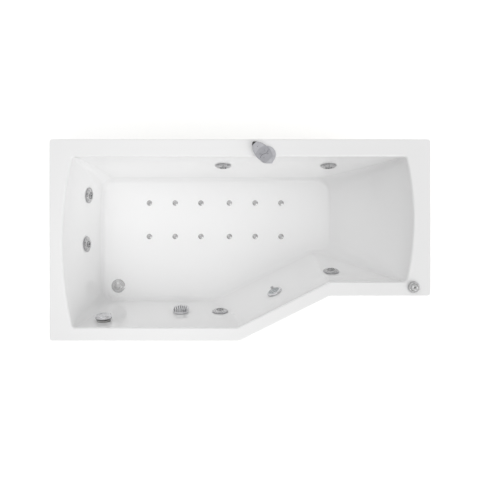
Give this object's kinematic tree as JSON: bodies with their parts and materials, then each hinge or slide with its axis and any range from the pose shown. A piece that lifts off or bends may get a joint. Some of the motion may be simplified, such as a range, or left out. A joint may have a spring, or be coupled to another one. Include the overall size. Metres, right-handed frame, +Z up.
{
  "type": "asymmetric spa bath",
  "caption": "Asymmetric acrylic spa bath on a steel frame, with swivelling water jets, floor air jets, pump, blower, pop-up waste and a hand control in a rim cradle.",
  "frame": {"origin": "on the floor, under the middle of the rim's bounding rectangle", "axes": "+X along the bath from the waste end to the backrest, +Y towards the straight back edge, +Z up"},
  "size_m": [1.7, 0.9, 0.6285],
  "materials": {
    "acrylic": "white gloss sanitary acrylic",
    "board": "resin-coated chipboard",
    "frame_steel": "grey zinc-coated square tube",
    "fastener_steel": "zinc plated",
    "rubber": "matt black rubber",
    "chrome": "polished chrome",
    "fitting_white": "white moulded plastic",
    "fitting_grey": "grey moulded plastic",
    "fitting_black": "black moulded plastic",
    "water_hose": "reinforced flexible hose",
    "air_hose": "soft translucent hose",
    "suction_hose": "ribbed flexible hose",
    "motor": "finned die casting",
    "lens": "ribbed clear lens",
    "remote_silver": "satin silver",
    "remote_grey": "mid grey",
    "remote_black": "black infra-red window"
  },
  "bodies": {
    "bath": {"air_control_body": "fitting_grey", "air_jet_bodies": "fitting_grey", "air_jet_caps": "chrome", "air_manifold": "fitting_white", "base_board": "board", "blower_case": "fitting_black", "blower_hose": "suction_hose", "control_box": "fitting_grey", "equipment_shelf": "board", "foot_nuts": "fastener_steel", "frame_cross_rails": "frame_steel", "frame_long_rails": "frame_steel", "frame_uprights": "frame_steel", "jet_air_hoses": "air_hose", "jet_bezels": "chrome", "jet_bodies": "fitting_grey", "level_sensor": "chrome", "light_bezel": "chrome", "light_lens": "lens", "overflow_body": "fitting_white", "overflow_hose": "suction_hose", "plug_cable": "fitting_black", "pump_motor": "motor", "pump_volute": "fitting_black", "remote_cradle": "remote_silver", "rim_pads": "rubber", "suction_body": "fitting_grey", "suction_grille": "chrome", "suction_hose": "suction_hose", "tub_shell": "acrylic", "wall_nuts": "fitting_grey", "wall_seals": "rubber", "waste_body": "fitting_white", "waste_flange": "chrome", "waste_trap": "fitting_white", "water_hoses": "water_hose", "water_tee": "fitting_grey"},
    "overflow_dial": {"overflow_knob": "chrome"},
    "plug": {"drain_plug": "chrome"},
    "air_dial": {"air_control_knob": "chrome"},
    "hand_control": {"remote_case": "remote_silver", "remote_keypad": "remote_grey", "remote_window": "remote_black"},
    "pump_shaft": {"pump_rotor": "fastener_steel"},
    "blower_wheel": {"blower_fan": "fitting_grey"},
    "nozzle_1": {"jet_nozzle_1": "chrome"},
    "nozzle_2": {"jet_nozzle_2": "chrome"},
    "nozzle_3": {"jet_nozzle_3": "chrome"},
    "nozzle_4": {"jet_nozzle_4": "chrome"},
    "nozzle_5": {"jet_nozzle_5": "chrome"},
    "nozzle_6": {"jet_nozzle_6": "chrome"},
    "key_1": {"remote_key_1": "remote_grey"},
    "key_2": {"remote_key_2": "remote_grey"},
    "key_3": {"remote_key_3": "remote_grey"},
    "key_4": {"remote_key_4": "remote_grey"},
    "levelling_foot_1": {"foot_1": "fastener_steel"},
    "levelling_foot_2": {"foot_2": "fastener_steel"},
    "levelling_foot_3": {"foot_3": "fastener_steel"},
    "levelling_foot_4": {"foot_4": "fastener_steel"},
    "levelling_foot_5": {"foot_5": "fastener_steel"}
  },
  "joints": [
    {"name": "overflow_turn", "type": "hinge", "parent": "bath", "child": "overflow_dial", "pos_m": [-0.633, -0.37408, 0.48996], "axis": [0, 0.9847, 0.1742], "range_deg": [0, 75]},
    {"name": "plug_lift", "type": "slide", "parent": "bath", "child": "plug", "axis": [0, 0, 1], "range_m": [0, 0.012]},
    {"name": "air_dial_turn", "type": "hinge", "parent": "bath", "child": "air_dial", "pos_m": [0.773, -0.21, 0.6], "axis": [0, 0, 1], "range_deg": [0, 180]},
    {"name": "hand_control_lift", "type": "slide", "parent": "bath", "child": "hand_control", "axis": [0, 0, 1], "range_m": [0, 0.15]},
    {"name": "pump_spin", "type": "hinge", "parent": "bath", "child": "pump_shaft", "pos_m": [0.75, -0.06, 0.237], "axis": [0, 1, 0], "continuous": true},
    {"name": "blower_spin", "type": "hinge", "parent": "bath", "child": "blower_wheel", "pos_m": [0.705, 0.32, 0.149], "axis": [0, 0, 1], "continuous": true},
    {"name": "nozzle_1_tilt", "type": "hinge", "parent": "bath", "child": "nozzle_1", "pos_m": [0.422, 0.35773, 0.42453], "axis": [1, 0, 0], "range_deg": [-15, 15]},
    {"name": "nozzle_2_tilt", "type": "hinge", "parent": "bath", "child": "nozzle_2", "pos_m": [-0.08, 0.35773, 0.42453], "axis": [1, 0, 0], "range_deg": [-15, 15]},
    {"name": "nozzle_3_tilt", "type": "hinge", "parent": "bath", "child": "nozzle_3", "pos_m": [-0.74213, 0.21823, 0.35475], "axis": [0.0911, 0.9957, 0.0148], "range_deg": [-15, 15]},
    {"name": "nozzle_4_tilt", "type": "hinge", "parent": "bath", "child": "nozzle_4", "pos_m": [-0.75235, -0.02102, 0.35469], "axis": [-0.008, 1, -0.0015], "range_deg": [-15, 15]},
    {"name": "nozzle_5_tilt", "type": "hinge", "parent": "bath", "child": "nozzle_5", "pos_m": [0.435, -0.15387, 0.41912], "axis": [-1, 0, 0], "range_deg": [-15, 15]},
    {"name": "nozzle_6_tilt", "type": "hinge", "parent": "bath", "child": "nozzle_6", "pos_m": [-0.097, -0.35192, 0.3597], "axis": [-1, 0, 0], "range_deg": [-15, 15]},
    {"name": "key_1_press", "type": "slide", "parent": "hand_control", "child": "key_1", "axis": [0, 0, -1], "range_m": [0, 0.0012], "stiffness_N_per_m": 500, "springref_m": -0.001},
    {"name": "key_2_press", "type": "slide", "parent": "hand_control", "child": "key_2", "axis": [0, 0, -1], "range_m": [0, 0.0012], "stiffness_N_per_m": 500, "springref_m": -0.001},
    {"name": "key_3_press", "type": "slide", "parent": "hand_control", "child": "key_3", "axis": [0, 0, -1], "range_m": [0, 0.0012], "stiffness_N_per_m": 500, "springref_m": -0.001},
    {"name": "key_4_press", "type": "slide", "parent": "hand_control", "child": "key_4", "axis": [0, 0, -1], "range_m": [0, 0.0012], "stiffness_N_per_m": 500, "springref_m": -0.001},
    {"name": "foot_1_screw", "type": "slide", "parent": "bath", "child": "levelling_foot_1", "axis": [0, 0, 1], "range_m": [-0.012, 0.015]},
    {"name": "foot_2_screw", "type": "slide", "parent": "bath", "child": "levelling_foot_2", "axis": [0, 0, 1], "range_m": [-0.012, 0.015]},
    {"name": "foot_3_screw", "type": "slide", "parent": "bath", "child": "levelling_foot_3", "axis": [0, 0, 1], "range_m": [-0.012, 0.015]},
    {"name": "foot_4_screw", "type": "slide", "parent": "bath", "child": "levelling_foot_4", "axis": [0, 0, 1], "range_m": [-0.012, 0.015]},
    {"name": "foot_5_screw", "type": "slide", "parent": "bath", "child": "levelling_foot_5", "axis": [0, 0, 1], "range_m": [-0.012, 0.015]}
  ],
  "couplings": [
    {"joint": "plug_lift", "follows": "overflow_turn", "m_per_rad": 0.009166}
  ]
}
